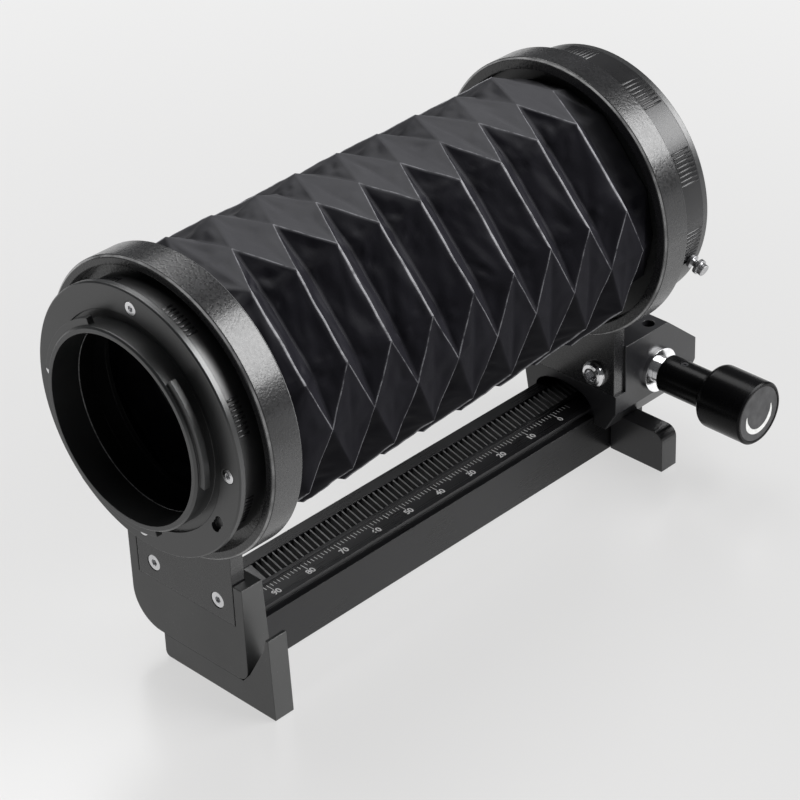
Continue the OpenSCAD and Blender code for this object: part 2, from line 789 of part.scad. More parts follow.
// Knurled ring behind the lens ring: floor with a threaded spigot, outer shell and light tube
module lens_adapter() {
    outer = adapter_d / 2;
    shell = 1.6;
    light = lens_throat_d / 2 + 1.2;
    tail = 2.6;
    color("#1a1a1c")
        difference() {
            union() {
                on_axis(lens_ring_y1)
                    rotate_extrude($fn = 180)
                        polygon([
                            [light, -tail], [floor_bore / 2 - 0.1, -tail], [floor_bore / 2 - 0.1, 0],
                            [outer, 0], [outer, lens_adapter_len], [outer - shell, lens_adapter_len],
                            [outer - shell, pocket_floor], [light + 0.7, pocket_floor],
                            [light + 0.7, lens_adapter_len], [light, lens_adapter_len]
                        ]);
                // posts for the screws of the mount
                for (a = lens_screw_angles)
                    on_axis(lens_ring_y1 + 0.5)
                        at_angle(a, mount_screw_r) cylinder(d = 3.6, h = lens_adapter_len - 0.5);
            }
            for (a = lens_screw_angles)
                on_axis(lens_plate_y0 - 4)
                    at_angle(a, mount_screw_r) cylinder(d = 1.6, h = 4 + over);
            // slot for the release stem
            on_axis()
                rotate([0, 0, -release_angle])
                    box([outer - shell - over, outer + over], [-stem_d / 2 - 0.2, stem_d / 2 + 0.2],
                        [stem_y - release_travel - stem_d / 2 - 0.2, stem_y + stem_d / 2 + 0.2]);
        }
}

// Lens mount: plate, skirt and three claws that hold the lens
module lens_bayonet() {
    r_in = lens_throat_d / 2;
    claw = 1.4;
    rim = adapter_d / 2 - 0.2;
    color("#2c2c2f")
        difference() {
            union() {
                on_axis(lens_plate_y0)
                    rotate_extrude($fn = 180)
                        polygon([
                            [r_in + 0.4, -skirt_len], [r_in + 1.1, -skirt_len], [r_in + 1.1, 0], [rim, 0],
                            [rim, lens_plate_t - 0.4], [rim - 0.4, lens_plate_t],
                            [r_in, lens_plate_t], [r_in, 0], [r_in + 0.4, -0.3]
                        ]);
                for (a = [60, 180, 300])
                    on_axis(lens_plate_y0 - 1.8)
                        rotate([0, 0, -a])
                            rotate_extrude(angle = 55, $fn = 180)
                                translate([r_in - claw, 0]) square([claw + 0.7, 1.3]);
            }
            for (a = lens_screw_angles)
                on_axis(lens_plate_y0 - over)
                    at_angle(a, mount_screw_r) cylinder(d = 1.8, h = lens_plate_t + 2 * over);
            for (a = lens_screw_angles)
                on_axis(lens_plate_y1 - 0.9)
                    at_angle(a, mount_screw_r) cylinder(d = 3.2, h = 0.9 + over);
            on_axis(lens_plate_y0 - over)
                at_angle(release_angle, release_r)
                    cylinder(d = release_pin_d + 2 * run, h = lens_plate_t + 2 * over);
            on_axis(lens_plate_y1 - 0.4)
                at_angle(90, mount_screw_r) cylinder(d = 2, h = 0.4 + over);
        }
}

module lens_mount_screws() {
    color("#b9bbbf")
        for (a = lens_screw_angles)
            on_axis(lens_plate_y1)
                at_angle(a, mount_screw_r) mirror([0, 0, 1]) screw(3, 0.85, 1.6, 4, 1.4);
}

// Flat springs that press the lens's claws forward
module bayonet_springs() {
    r_in = lens_throat_d / 2;
    color("#c9b27a")
        for (a = [70, 190, 310])
            on_axis(lens_plate_y0 - skirt_len + 0.2)
                rotate([0, 0, -a])
                    rotate_extrude(angle = 35, $fn = 180)
                        translate([r_in - 1, 0]) square([1.38, 0.4]);
}

module lens_index() {
    color("#e8e8e6")
        on_axis(lens_plate_y1 - 0.4)
            at_angle(90, mount_screw_r) cylinder(d = 2, h = 0.45);
}

// Lens release: the locking pin through the mount and the small ribbed pull on its stem
module release_pin() {
    color("#2e2e30")
        union() {
            on_axis(release_pin_y0)
                at_angle(release_angle, release_r) {
                    cylinder(d = release_pin_d, h = lens_plate_y1 - release_pin_y0);
                    cylinder(d = release_tip_d, h = lens_plate_y1 + release_proud - release_pin_y0);
                }
            on_axis(stem_y)
                rotate([0, 0, -release_angle])
                    translate([release_r, 0, 0])
                        rotate([0, 90, 0]) {
                            cylinder(d = stem_d, h = 7.4);
                            translate([0, 0, 4.5]) cylinder(d = 3.2, h = 0.8);
                            translate([0, 0, 6.6]) cylinder(d = 3.6, h = 0.8);
                            translate([0, 0, 7.2]) cylinder(d = 2.8, h = 1.4);
                        }
        }
}

// Coil behind the locking pin: a tube of six sides swept along a helix
module release_spring() {
    turns = 4;
    steps = 10;
    coil_r = 0.7;
    wire_r = 0.14;
    sides = 6;
    y0 = lens_ring_y1 + pocket_floor + wire_r;
    rise = release_pin_y0 - wire_r - y0;
    rings = turns * steps;
    centre = [release_r * cos(release_angle), axis_h + release_r * sin(release_angle)];
    points = [for (i = [0 : rings]) for (s = [0 : sides - 1])
        let (a = 360 * i / steps, r = coil_r + wire_r * cos(360 * s / sides))
        [centre[0] + r * cos(a),
         y0 + rise * i / rings + wire_r * sin(360 * s / sides),
         centre[1] + r * sin(a)]];
    skin = [for (i = [0 : rings - 1]) for (s = [0 : sides - 1])
        let (a = i * sides + s, b = i * sides + (s + 1) % sides)
        each [[a, b, b + sides], [a, b + sides, a + sides]]];
    near_cap = [[for (s = [sides - 1 : -1 : 0]) s]];
    far_cap = [[for (s = [0 : sides - 1]) rings * sides + s]];
    color("#a9abb0") polyhedron(points = points, faces = concat(skin, near_cap, far_cap));
}

// ---- drive ----

module knob_bush() {
    color("#c4c6ca")
        difference() {
            union() {
                on_shaft(bush_x0) cylinder(d = bush_d, h = block_right - bush_x0);
                on_shaft(block_right) cylinder(d = bush_collar_d, h = collar_t);
            }
            on_shaft(bush_x0 - over)
                cylinder(d = shaft_d + 2 * run, h = block_right + collar_t - bush_x0 + 2 * over);
        }
}

module bush_grub() {
    seat = pinion_z + bush_d / 2;
    length = 4;
    color("#4a4b4e")
        translate([13, pinion_y, seat + length])
            mirror([0, 0, 1]) screw(2.8, 1.5, 2.8, length, 1.3);
}

// Involute tooth outline of the pinion, in the plane across its axis
pressure_t = atan(tan(pressure) / cos(helix));
base_r = pitch_r * cos(pressure_t);
tip_r = pitch_r + tooth_module * 0.96;
root_r = pitch_r - dedendum;
function involute(a) = tan(a) * 180 / PI - a;
function half_tooth(r) =
    (pitch / 4 - backlash / 4) / pitch_r * 180 / PI
    + involute(pressure_t) - involute(acos(min(1, base_r / r)));
function polar(r, a) = [r * cos(a), r * sin(a)];
tooth_radii = [root_r, base_r, pitch_r, tip_r];

module pinion() {
    twist = tan(helix) * pinion_w / pitch_r * 180 / PI;
    color("#8f9196")
        translate([-rack_x - pinion_w / 2, pinion_y, pinion_z])
            rotate([90, 0, 90])
                rotate([0, 0, twist / 2])
                    linear_extrude(pinion_w, twist = twist, slices = 4)
                        difference() {
                            polygon([for (i = [0 : pinion_teeth - 1])
                                let (mid = -90 + i * 360 / pinion_teeth)
                                each concat(
                                    [for (r = tooth_radii) polar(r, mid - half_tooth(max(r, base_r)))],
                                    [for (k = [3 : -1 : 0])
                                        polar(tooth_radii[k], mid + half_tooth(max(tooth_radii[k], base_r)))]
                                )]);
                            circle(r = shaft_d / 2 / cos(180 / 48) + 0.02, $fn = 48);
                        }
}

module drive_shaft() {
    color("#c4c6ca")
        on_shaft(shaft_x0) cylinder(d = shaft_d, h = shaft_x1 - shaft_x0);
}

// Knob turned in one piece: sleeve, cone and grip, bored for the shaft, with a seat for the cap
module knob() {
    bore = shaft_d / 2;
    shoulder_r = 1.8;
    end = knob_x1 - sleeve_x0;
    color("#19191b")
        difference() {
            on_shaft(sleeve_x0)
                rotate_extrude($fn = 120)
                    polygon([
                        [bore, 0], [sleeve_d / 2 - 0.3, 0], [sleeve_d / 2, 0.3],
                        [sleeve_d / 2, sleeve_len],
                        each arc(knob_d / 2 - shoulder_r, knob_x0 - sleeve_x0 + 0.6, shoulder_r, -62, 0, 6),
                        [knob_d / 2, end - 0.4], [knob_d / 2 - 0.4, end],
                        [knob_d / 2 - 0.9, end], [knob_d / 2 - 0.9, end - cap_t],
                        [0, end - cap_t], [0, shaft_x1 - sleeve_x0], [bore, shaft_x1 - sleeve_x0]
                    ]);
            translate([sleeve_x0 + 5, pinion_y, pinion_z]) cylinder(d = 2, h = sleeve_d);
        }
}

module knob_cap() {
    color("#77787c")
        on_shaft(knob_x1 - cap_t) cylinder(r = knob_d / 2 - 0.95, h = cap_t - 0.1);
}

module knob_grub() {
    color("#4a4b4e")
        translate([sleeve_x0 + 5, pinion_y, pinion_z + sleeve_d / 2 - 0.2])
            mirror([0, 0, 1]) screw(1.9, 0.7, 1.9, (sleeve_d - shaft_d) / 2 - 0.2, 0.9);
}

rail();
rack();
rack_screw();
tripod_insert();
camera_bracket();
camera_foot();
bracket_screws();
camera_foot_screws();
camera_ring();
camera_tab_screws();
camera_adapter();
camera_bayonet();
camera_mount_screws();
camera_bellows_frame();
bellows();
carriage();
lens_foot();
lens_foot_screw();
lens_ring();
lens_tab_screws();
lens_bellows_frame();
lens_adapter();
lens_bayonet();
lens_mount_screws();
bayonet_springs();
lens_index();
release_pin();
release_spring();
knob_bush();
bush_grub();
pinion();
drive_shaft();
knob();
knob_cap();
knob_grub();
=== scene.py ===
"""Looks of the macro bellows unit.

Lengths are written in millimetres and turned into metres by MM. The frame is the CAD frame:
X across the rail to the knob, Y from the camera end to the lens end, Z up from the table.
"""
import math
import random

import bmesh
import bpy
from mathutils import Matrix, Vector, noise


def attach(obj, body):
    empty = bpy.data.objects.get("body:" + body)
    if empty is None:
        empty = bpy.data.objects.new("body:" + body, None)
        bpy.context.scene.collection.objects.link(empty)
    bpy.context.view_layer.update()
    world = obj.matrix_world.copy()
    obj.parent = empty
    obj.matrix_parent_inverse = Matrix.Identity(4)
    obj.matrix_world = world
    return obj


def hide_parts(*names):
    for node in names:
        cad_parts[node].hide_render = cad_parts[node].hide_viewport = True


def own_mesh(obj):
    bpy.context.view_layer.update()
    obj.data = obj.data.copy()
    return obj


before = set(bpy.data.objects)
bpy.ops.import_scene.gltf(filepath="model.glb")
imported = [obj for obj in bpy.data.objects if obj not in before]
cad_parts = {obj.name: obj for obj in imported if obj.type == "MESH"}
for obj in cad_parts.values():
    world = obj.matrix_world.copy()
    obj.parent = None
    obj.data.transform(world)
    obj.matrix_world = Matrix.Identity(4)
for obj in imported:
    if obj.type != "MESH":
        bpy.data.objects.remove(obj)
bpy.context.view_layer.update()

MM = 0.001
SCENE = bpy.context.scene
AXIS_Z = 66.3                           # height of the optical axis
RING_R = 33.0                           # outer radius of the two cast rings
CAMERA_RING_Y = (-65.5, -57.3)          # the two faces of the camera ring
LENS_RING_Y = (50.9, 58.5)              # and of the lens ring
THROAT_R = 20.7                         # bore of the camera tube
TUBE_STEP_Y = -68.3                     # where a highlight is painted on an edge inside the tube, with painted shade behind it

# ---------------------------------------------------------------- camera

AZIMUTH, ELEVATION, ROLL = 45.572, 32.160, -2.278       # degrees
DISTANCE = 650.8
TARGET = Vector((-24.1, 25.0, 15.82))
FOCAL_PX, PICTURE_PX = 2816.8, 800.0    # focal length and width of the picture, in pixels
SENSOR = 36.0
CLIP = (20.0, 10000.0)


def make_camera():
    """The photograph's camera, solved on the rail's numbers and the rings' outlines."""
    a, e, r = (math.radians(v) for v in (AZIMUTH, ELEVATION, ROLL))
    back = Vector((math.sin(a) * math.cos(e), -math.cos(a) * math.cos(e), math.sin(e)))
    right = Vector((math.cos(a), math.sin(a), 0.0))
    up = back.cross(right)
    across = right * math.cos(r) + up * math.sin(r)
    upward = up * math.cos(r) - right * math.sin(r)
    place = (TARGET + back * DISTANCE) * MM
    data = bpy.data.cameras.new("camera")
    data.sensor_width = SENSOR
    data.lens = SENSOR * FOCAL_PX / PICTURE_PX
    data.clip_start, data.clip_end = (v * MM for v in CLIP)
    cam = bpy.data.objects.new("camera", data)
    SCENE.collection.objects.link(cam)
    cam.matrix_world = Matrix((
        (across.x, upward.x, back.x, place.x),
        (across.y, upward.y, back.y, place.y),
        (across.z, upward.z, back.z, place.z),
        (0, 0, 0, 1)))
    SCENE.camera = cam


make_camera()

# ---------------------------------------------------------------- materials


def is_socket(value):
    return hasattr(value, "is_linked")


def rgba(value):
    """A colour socket as it is, or three numbers with full alpha."""
    return value if is_socket(value) else (*value, 1.0)


class Graph:
    """Small helper that builds a node tree around one Principled shader."""

    def __init__(self, name):
        self.mat = bpy.data.materials.new(name)
        self.mat.use_nodes = True
        self.tree = self.mat.node_tree
        self.tree.nodes.clear()
        out = self.add("ShaderNodeOutputMaterial")
        self.bsdf = self.add("ShaderNodeBsdfPrincipled")
        self.feed(out.inputs["Surface"], self.bsdf.outputs[0])

    def add(self, kind, **settings):
        node = self.tree.nodes.new(kind)
        for key, value in settings.items():
            setattr(node, key, value)
        return node

    def feed(self, socket, value):
        """Link another node's socket to this one, or write a constant into it."""
        if is_socket(value):
            self.tree.links.new(value, socket)
        else:
            socket.default_value = value

    def node(self, kind, inputs, output=0, **settings):
        """One output of a new node whose inputs are linked or written."""
        node = self.add(kind, **settings)
        for key, value in inputs.items():
            self.feed(node.inputs[key], value)
        return node.outputs[output]

    def coords(self):
        return self.node("ShaderNodeTexCoord", {}, "Object")

    def stretch(self, vector, scale):
        return self.node("ShaderNodeMapping", {"Vector": vector, "Scale": scale})

    def noise(self, vector, scale, detail=3.0, rough=0.55, distort=0.0):
        return self.node("ShaderNodeTexNoise", {
            "Vector": vector, "Scale": scale, "Detail": detail, "Roughness": rough,
            "Distortion": distort}, "Fac")

    def cells(self, vector, scale):
        return self.node("ShaderNodeTexVoronoi", {"Vector": vector, "Scale": scale}, "Distance",
                         feature="SMOOTH_F1")

    def span(self, value, lo, hi, to_lo=0.0, to_hi=1.0):
        """Map lo..hi to to_lo..to_hi, and hold the ends."""
        return self.node("ShaderNodeMapRange", {
            "Value": value, "From Min": lo, "From Max": hi, "To Min": to_lo, "To Max": to_hi})

    def math(self, op, a, b=0.0):
        return self.node("ShaderNodeMath", {0: a, 1: b}, operation=op)

    def times(self, a, b):
        return self.math("MULTIPLY", a, b)

    def mix(self, fac, a, b):
        return self.node("ShaderNodeMix", {0: fac, 6: rgba(a), 7: rgba(b)}, 2, data_type="RGBA")

    def bump(self, height, strength, distance, normal=None):
        """A bump of the given height in mm, on top of another normal if there is one."""
        inputs = {"Strength": strength, "Distance": distance * MM, "Height": height}
        if normal is not None:
            inputs["Normal"] = normal
        return self.node("ShaderNodeBump", inputs)

    def edges(self, radius):
        """Normal that rounds the hard edges of a turned or milled piece."""
        return self.node("ShaderNodeBevel", {"Radius": radius * MM}, samples=6)

    def place(self, vector):
        """Y and the distance from the optical axis, in metres."""
        split = self.add("ShaderNodeSeparateXYZ")
        self.feed(split.inputs[0], vector)
        x, y, z = split.outputs
        up = self.math("SUBTRACT", z, AXIS_Z * MM)
        return y, self.math("SQRT", self.math("ADD", self.times(x, x), self.times(up, up)))

    def facing_up(self):
        """How far the surface looks up: 1 is level, 0 is upright. Painted top light and side shade
        follow it.
        """
        normal = self.node("ShaderNodeNewGeometry", {}, "Normal")
        return self.node("ShaderNodeSeparateXYZ", {0: normal}, 2)

    def near(self, value, centre, half):
        """1 where a value in metres lies within half a width of the centre, with a soft edge."""
        gap = self.math("ABSOLUTE", self.math("SUBTRACT", value, centre * MM))
        return self.span(gap, half * MM * 0.7, half * MM, 1.0, 0.0)

    def attribute(self, name):
        return self.node("ShaderNodeAttribute", {}, "Fac", attribute_name=name)

    def finish(self, colour, rough, metallic=0.0, **sockets):
        """Feed the shader; other sockets are named with _ for a space."""
        sockets = {"Base_Color": rgba(colour), "Roughness": rough, "Metallic": metallic, **sockets}
        for key, value in sockets.items():
            self.feed(self.bsdf.inputs[key.replace("_", " ")], value)
        return self.mat


def mat_anodised(name, dark, light, rough, grain=(1, 1, 1), grain_scale=2500, gloss=0.5,
                 groove=None, step=None):
    """Black anodised aluminium: fine grain along the machining, faint mottling and marks where it
    is rubbed; the same noise also breaks up a painted highlight inside the tube.

    groove is the Y of a near-black line of painted shade around the piece, for the shade in the
    groove beside it, and step the Y of an edge inside the tube, given a painted highlight with
    painted shade behind it.
    """
    g = Graph(name)
    co = g.coords()
    fine = g.noise(g.stretch(co, grain), grain_scale, 4, 0.6)
    cloud = g.noise(co, 60)
    rub_and_glint = g.noise(co, 900, 5, 0.7)
    colour = g.mix(g.span(cloud, 0.3, 0.7), dark, light)
    colour = g.mix(g.times(g.span(rub_and_glint, 0.66, 0.8), 0.10), colour, (0.2, 0.2, 0.21))
    roughness = g.span(g.math("ADD", g.times(cloud, 0.6), g.times(fine, 0.4)),
                       0.3, 0.7, rough - 0.05, rough + 0.07)
    if groove is not None:
        # painted shade: a near-black line for the shade in the groove next to the lens ring
        line = g.near(g.place(co)[0], groove, 0.28)
        colour = g.mix(line, colour, (0.001, 0.001, 0.001))
        roughness = g.math("MAXIMUM", roughness, g.times(line, 0.9))
    if step is not None:                # a painted highlight on the edge, and painted shade behind it
        y, r = g.place(co)
        inside = g.span(r, (THROAT_R + 0.1) * MM, (THROAT_R + 0.2) * MM, 1.0, 0.0)
        # painted shade: near-black inside the tube beyond the edge
        behind = g.times(inside, g.span(y, step * MM, (step + 0.2) * MM))
        colour = g.mix(behind, colour, (0.0015, 0.0015, 0.0015))
        # painted highlight on the edge, broken up in places
        edge = g.times(inside, g.near(y, step, 0.14))
        glint_breakup = g.span(rub_and_glint, 0.35, 0.6, 0.3, 1.0)
        colour = g.mix(g.times(edge, glint_breakup), colour, (0.55, 0.55, 0.55))
    normal = g.bump(fine, 0.12, 0.06, g.edges(0.22))
    return g.finish(colour, roughness, 0.2, Normal=normal, Specular_IOR_Level=gloss)


def mat_crackle(name, rims):
    """Glossy black paint: pebbled on the ring, smooth on its tab, with painted highlights along
    the rims.
    """
    g = Graph(name)
    co = g.coords()
    y, r = g.place(co)
    on_ring = g.span(r, (RING_R + 0.1) * MM, (RING_R + 0.5) * MM, 1.0, 0.12)
    cell = g.cells(co, 2300)
    soft = g.noise(co, 1500, 2, 0.5, 0.3)
    broad = g.noise(co, 160, 2)
    height = g.times(g.math("ADD", g.times(cell, 0.5), soft), on_ring)
    normal = g.bump(height, 0.20, 0.22, g.edges(0.3))
    colour = g.mix(g.span(broad, 0.3, 0.7), (0.008, 0.008, 0.0085), (0.014, 0.014, 0.015))
    glint_breakup = g.span(g.noise(co, 220), 0.35, 0.6, 0.35, 1.0)
    at_rim = g.span(r, (RING_R - 0.8) * MM, (RING_R - 0.6) * MM)
    # painted highlights: pale lines along the rims, broken up in places
    for rim in rims:
        line = g.times(g.times(g.near(y, rim, 0.20), at_rim), glint_breakup)
        colour = g.mix(g.times(line, 0.75), colour, (0.42, 0.42, 0.42))
    return g.finish(colour, g.span(soft, 0.3, 0.7, 0.24, 0.34), Normal=normal,
                    Coat_Weight=0.25, Coat_Roughness=0.14)


def mat_enamel(name, dark, light, rough, gloss):
    """Satin black enamel on milled metal, with a faint orange peel and dust."""
    g = Graph(name)
    co = g.coords()
    peel = g.noise(co, 1300, 3, 0.5)
    cloud = g.noise(co, 45)
    dust = g.noise(co, 2600, 2, 0.4)
    colour = g.mix(g.span(cloud, 0.3, 0.7), dark, light)
    colour = g.mix(g.times(g.span(dust, 0.72, 0.8), 0.35), colour, (0.25, 0.25, 0.25))
    return g.finish(colour, g.span(cloud, 0.3, 0.7, rough - 0.06, rough + 0.06),
                    Normal=g.bump(peel, 0.18, 0.08, g.edges(0.3)), Specular_IOR_Level=gloss)


def mat_metal(name, dark, light, rough, stretch=(1, 1, 1), metallic=1.0):
    """Machined or plated metal, with fine lines and a few duller spots."""
    g = Graph(name)
    co = g.coords()
    lines = g.noise(g.stretch(co, stretch), 1800, 4, 0.65)
    spots = g.noise(co, 350)
    return g.finish(g.mix(g.span(spots, 0.3, 0.75), light, dark),
                    g.span(spots, 0.3, 0.7, rough - 0.05, rough + 0.08), metallic,
                    Normal=g.bump(lines, 0.15, 0.05, g.edges(0.12)))


def mat_cloth():
    """Coated cloth of the bellows, matte, with painted light and shade: paler on top, darker on
    its sides, pale beside the crests and dark at the valleys' ends; thin pale fold lines are part
    wear, part painted highlight.

    The attributes crest, dart and knot hold the distance in mm to such a fold or a valley's end.
    """
    g = Graph("bellows_cloth")
    co = g.coords()
    weave = g.noise(co, 5200, 2, 0.5)
    cloud = g.noise(co, 55, 4, 0.6)
    crumple = g.noise(co, 230, 4, 0.6, 0.8)
    broken = g.noise(co, 420, 4, 0.65)
    crest, dart, knot = (g.attribute(kind) for kind in ("crest", "dart", "knot"))
    lift = g.facing_up()

    def stroke(distance, near, far, lo, hi, least):
        """A line that fades from near to far, and is broken up in places down to least."""
        return g.times(g.span(distance, near, far, 1.0, 0.0), g.span(broken, lo, hi, least, 1.0))

    base = g.mix(g.span(cloud, 0.3, 0.72), (0.0110, 0.0107, 0.0137), (0.0155, 0.0151, 0.0187))
    # painted shade: faces that look sideways or down are darker
    base = g.mix(g.span(lift, 0.10, 0.45, 0.30, 0.0), base, (0.004, 0.004, 0.005))
    # painted top light: faces that look up are paler
    painted_top_light = g.times(g.span(lift, 0.50, 0.90), g.span(cloud, 0.25, 0.75, 0.75, 1.0))
    base = g.mix(painted_top_light, base, (0.050, 0.050, 0.0535))
    # painted light: a pale band on the grazing facet beside each crest
    base = g.mix(g.times(stroke(crest, 0.0, 1.3, 0.3, 0.6, 0.35), 0.16), base, (0.13, 0.13, 0.14))
    # painted shade: darker near the valleys' ends
    base = g.mix(g.span(knot, 0.4, 3.0, 0.55, 0.0), base, (0.003, 0.003, 0.004))
    # thin pale crest lines, part wear and part painted highlight
    base = g.mix(g.times(stroke(crest, 0.20, 0.42, 0.32, 0.55, 0.30), 0.85), base,
                 (0.30, 0.30, 0.315))
    # thin pale dart lines, part wear and part painted highlight
    base = g.mix(g.times(stroke(dart, 0.08, 0.22, 0.36, 0.58, 0.15), 0.50), base,
                 (0.24, 0.24, 0.255))
    normal = g.bump(weave, 0.08, 0.06, g.bump(crumple, 0.14, 0.6))
    return g.finish(base, g.span(cloud, 0.3, 0.7, 0.52, 0.66), Normal=normal,
                    Specular_IOR_Level=0.04)


def mat_paint(name, colour, other, rough):
    g = Graph(name)
    n = g.noise(g.coords(), 1500)
    return g.finish(g.mix(g.span(n, 0.35, 0.65), colour, other), rough,
                    Normal=g.bump(n, 0.1, 0.04))


TURNED = (0.009, 0.009, 0.0095), (0.015, 0.015, 0.016), 0.27
M = {
    "rail": mat_anodised("rail_black", (0.0055, 0.0055, 0.006), (0.009, 0.009, 0.010), 0.28,
                         (1, 0.02, 1), 3500, 0.33),
    "turned": mat_anodised("turned_black", *TURNED),
    "turned_grooved": mat_anodised("turned_black_grooved", *TURNED,
                                   groove=LENS_RING_Y[1] + 0.15),
    "adapter": mat_anodised("adapter_black", (0.010, 0.010, 0.0105), (0.016, 0.016, 0.017), 0.33,
                            gloss=1.0, step=TUBE_STEP_Y),
    "flange": mat_anodised("flange_black", (0.014, 0.0145, 0.015), (0.021, 0.0215, 0.022), 0.33,
                           gloss=1.0, step=TUBE_STEP_Y),
    "knob": mat_anodised("knob_black", (0.003, 0.003, 0.0032), (0.0045, 0.0045, 0.005), 0.25,
                         gloss=0.12),
    "camera_ring": mat_crackle("camera_ring_black", (CAMERA_RING_Y[0] + 0.3,
                                                     CAMERA_RING_Y[1] - 0.3)),
    "lens_ring": mat_crackle("lens_ring_black", (LENS_RING_Y[0] + 0.3, LENS_RING_Y[1] - 0.3)),
    "bracket": mat_enamel("bracket_black", (0.010, 0.0105, 0.0105), (0.014, 0.0145, 0.0145),
                          0.40, 0.85),
    "block": mat_enamel("block_black", (0.010, 0.010, 0.0115), (0.015, 0.015, 0.0165), 0.34, 0.5),
    "chrome": mat_metal("bright_plate", (0.62, 0.62, 0.63), (0.82, 0.82, 0.83), 0.16),
    "steel": mat_metal("machined_steel", (0.36, 0.36, 0.37), (0.52, 0.52, 0.53), 0.30,
                       (1, 0.05, 1)),
    "rack": mat_metal("rack_steel", (0.060, 0.060, 0.061), (0.11, 0.11, 0.111), 0.40,
                      (0.08, 1, 1), 0.5),
    "dark_screw": mat_metal("dark_screw", (0.09, 0.09, 0.09), (0.16, 0.16, 0.17), 0.34),
    "brass": mat_metal("spring_brass", (0.45, 0.33, 0.14), (0.62, 0.48, 0.24), 0.28),
    "cap": mat_metal("cap_grey", (0.045, 0.045, 0.047), (0.070, 0.070, 0.072), 0.42,
                     metallic=0.6),
    "white": mat_paint("white_fill", (0.62, 0.62, 0.61), (0.72, 0.72, 0.71), 0.45),
    "scale": mat_paint("scale_fill", (0.34, 0.34, 0.34), (0.48, 0.48, 0.48), 0.5),
    "cloth": mat_cloth(),
}

LOOKS = {
    "rail": "rail",
    "rack": "rack",
    "steel": "tripod_insert release_pin release_spring pinion",
    "chrome": "camera_tab_screws camera_mount_screws lens_tab_screws lens_mount_screws"
              " knob_bush drive_shaft",
    "dark_screw": "rack_screw bracket_screws camera_foot_screws lens_foot_screw bush_grub"
                  " knob_grub",
    "bracket": "camera_bracket camera_foot camera_bellows_frame lens_bellows_frame",
    "block": "carriage lens_foot",
    "camera_ring": "camera_ring",
    "lens_ring": "lens_ring",
    "adapter": "camera_adapter",
    "turned_grooved": "lens_adapter",
    "flange": "camera_bayonet lens_bayonet",
    "brass": "bayonet_springs",
    "white": "lens_index",
    "knob": "knob",
    "cap": "knob_cap",
}
for look, nodes in LOOKS.items():
    for node in nodes.split():
        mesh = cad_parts[node].data
        mesh.materials.clear()
        mesh.materials.append(M[look])


def piece(name, bm, look, body, smooth=True):
    """Turn a bmesh in millimetres into an object that rides on a body."""
    mesh = bpy.data.meshes.new(name)
    bmesh.ops.recalc_face_normals(bm, faces=bm.faces)
    bm.transform(Matrix.Scale(MM, 4))
    bm.to_mesh(mesh)
    bm.free()
    mesh.materials.append(M[look])
    for poly in mesh.polygons:
        poly.use_smooth = smooth
    obj = bpy.data.objects.new(name, mesh)
    SCENE.collection.objects.link(obj)
    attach(obj, body)
    return obj


def on_axis(r, angle, y):
    """A point about the optical axis; 0 is towards +X and 90 is up."""
    a = math.radians(angle)
    return Vector((r * math.cos(a), y, AXIS_Z + r * math.sin(a)))


# ---------------------------------------------------------------- bellows

BELLOWS_Y0 = -58.5
HALF_FOLD = 5.9
HALF_FOLDS = 19
BELLOWS_Y1 = BELLOWS_Y0 + HALF_FOLD * HALF_FOLDS
CLOTH_T = 0.5
SIDES = (41.0, 126.0, 221.0, 315.5)     # middle of each flat side, in degrees
SIDE_HALF = 19.5                        # from there to the side's ends
COLUMNS = 3 * len(SIDES)                # both ends of each side, and the corner after it
R_OUT = 31.6                            # crests, at the ends of the flat sides
R_IN = ((25.9, 25.9), (29.0, 26.6), (26.2, 26.2), (26.2, 25.9))     # valleys, side by side
CORNER_OUT, CORNER_IN = 30.3, 29.3      # in the middle of the corners, which stay nearly flat
END_R = 27.1                            # where the cloth is held by the frames
LAST_R = 29.2                           # room in the lens ring when the bellows is pushed together
STEPS = 12                              # rows of small faces in each facet
FAR = 4.0                               # creases further off than this don't count
RIM_REACH = 0.4                         # how far along Y a rim's edges lie from its plane

R_OFF, VALLEY_R_OFF = (-0.25, 0.2), (-0.5, 0.4)         # how far the folds are off their places
ANGLE_OFF, Y_OFF = (-0.9, 0.9), (-0.3, 0.3)

# The cloth's unevenness: each pair is waves in a millimetre, and height
BROAD, SMALL, PINCH, WAVE = (0.11, 0.75), (0.31, 0.28), (0.55, 0.7), (0.22, 0.22)
PINCH_SHIFT = Vector((7.0, 3.0, 1.0))
PINCH_REACH = 4.5                       # the pinches die away over this from a valley's end
PINCH_SEARCH, NO_PINCH = 9.0, 20.0      # ends are looked for this far along Y, or else none
CALM_EDGE = 2.0                         # the cloth rises less than this near to a crease
CALM_SIZE = 8.0                         # and in facets smaller than this


def fold_angle(j):
    """The two ends of each flat side, and the middle of the corner after it."""
    side, place = j // 3, j % 3
    if place < 2:
        return SIDES[side] + (-SIDE_HALF, SIDE_HALF)[place]
    after = SIDES[side + 1] if side < 3 else SIDES[0] + 360.0
    return (SIDES[side] + after) / 2


def is_corner(j):
    return j % 3 == 2


def fold_outer(k, j):
    """Crests are at odd rows on the sides, and at even rows on the corners."""
    return (k + is_corner(j)) % 2 == 1


def fold_radius(k, j):
    out = fold_outer(k, j)
    if k in (0, HALF_FOLDS):
        r = END_R
    elif is_corner(j):
        r = CORNER_OUT if out else CORNER_IN
    else:
        r = R_OUT if out else R_IN[j // 3][j % 3]
    return min(r, LAST_R) if k == HALF_FOLDS - 1 else r


